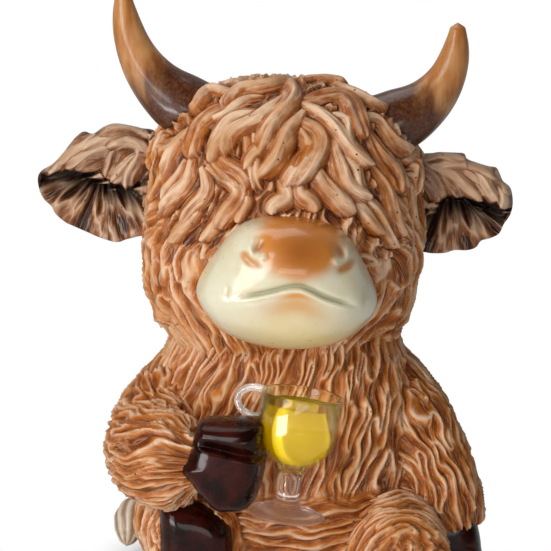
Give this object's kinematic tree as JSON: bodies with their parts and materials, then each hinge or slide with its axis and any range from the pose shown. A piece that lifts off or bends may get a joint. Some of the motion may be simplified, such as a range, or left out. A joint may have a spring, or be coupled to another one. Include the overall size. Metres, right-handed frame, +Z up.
{
  "type": "cow figurine",
  "caption": "Seated long-haired cow ornament of glued resin castings with horns, drooping ears and a forelock over its eyes, a stemmed glass of lemon drink glued to one hoof.",
  "frame": {"origin": "middle of the underside of the felt pad that the figure stands on", "axes": "+Z up, -Y the way the figure faces, +X to the animal's own left"},
  "size_m": [0.1053, 0.0759, 0.1291],
  "materials": {
    "fur_coat": "cast resin, painted and dry-brushed, satin lacquer",
    "muzzle_paint": "cast resin, airbrushed cream and tan, gloss lacquer",
    "horn_paint": "cast resin, shaded caramel brown, gloss lacquer",
    "hoof_paint": "cast resin, near-black brown, gloss lacquer",
    "tuft_paint": "cast resin, pale cream, satin lacquer",
    "clear_glass": "clear, polished",
    "drink_resin": "tinted clear casting resin, gloss",
    "lemon_resin": "tinted casting resin",
    "plug_resin": "raw cast resin, matt",
    "felt": "pressed felt"
  },
  "bodies": {
    "root": {"base_plug": "plug_resin", "drink": "drink_resin", "felt_pad": "felt", "glass": "clear_glass", "glass_handle": "clear_glass", "head": "fur_coat", "left_arm": "fur_coat", "left_ear": "fur_coat", "left_front_hoof": "hoof_paint", "left_hind_hoof": "hoof_paint", "left_horn": "horn_paint", "left_leg": "fur_coat", "lemon_slice": "lemon_resin", "muzzle": "muzzle_paint", "right_arm": "fur_coat", "right_ear": "fur_coat", "right_front_hoof": "hoof_paint", "right_hind_hoof": "hoof_paint", "right_horn": "horn_paint", "right_leg": "fur_coat", "tail": "fur_coat", "tail_tuft": "tuft_paint", "torso": "fur_coat"}
  },
  "joints": []
}
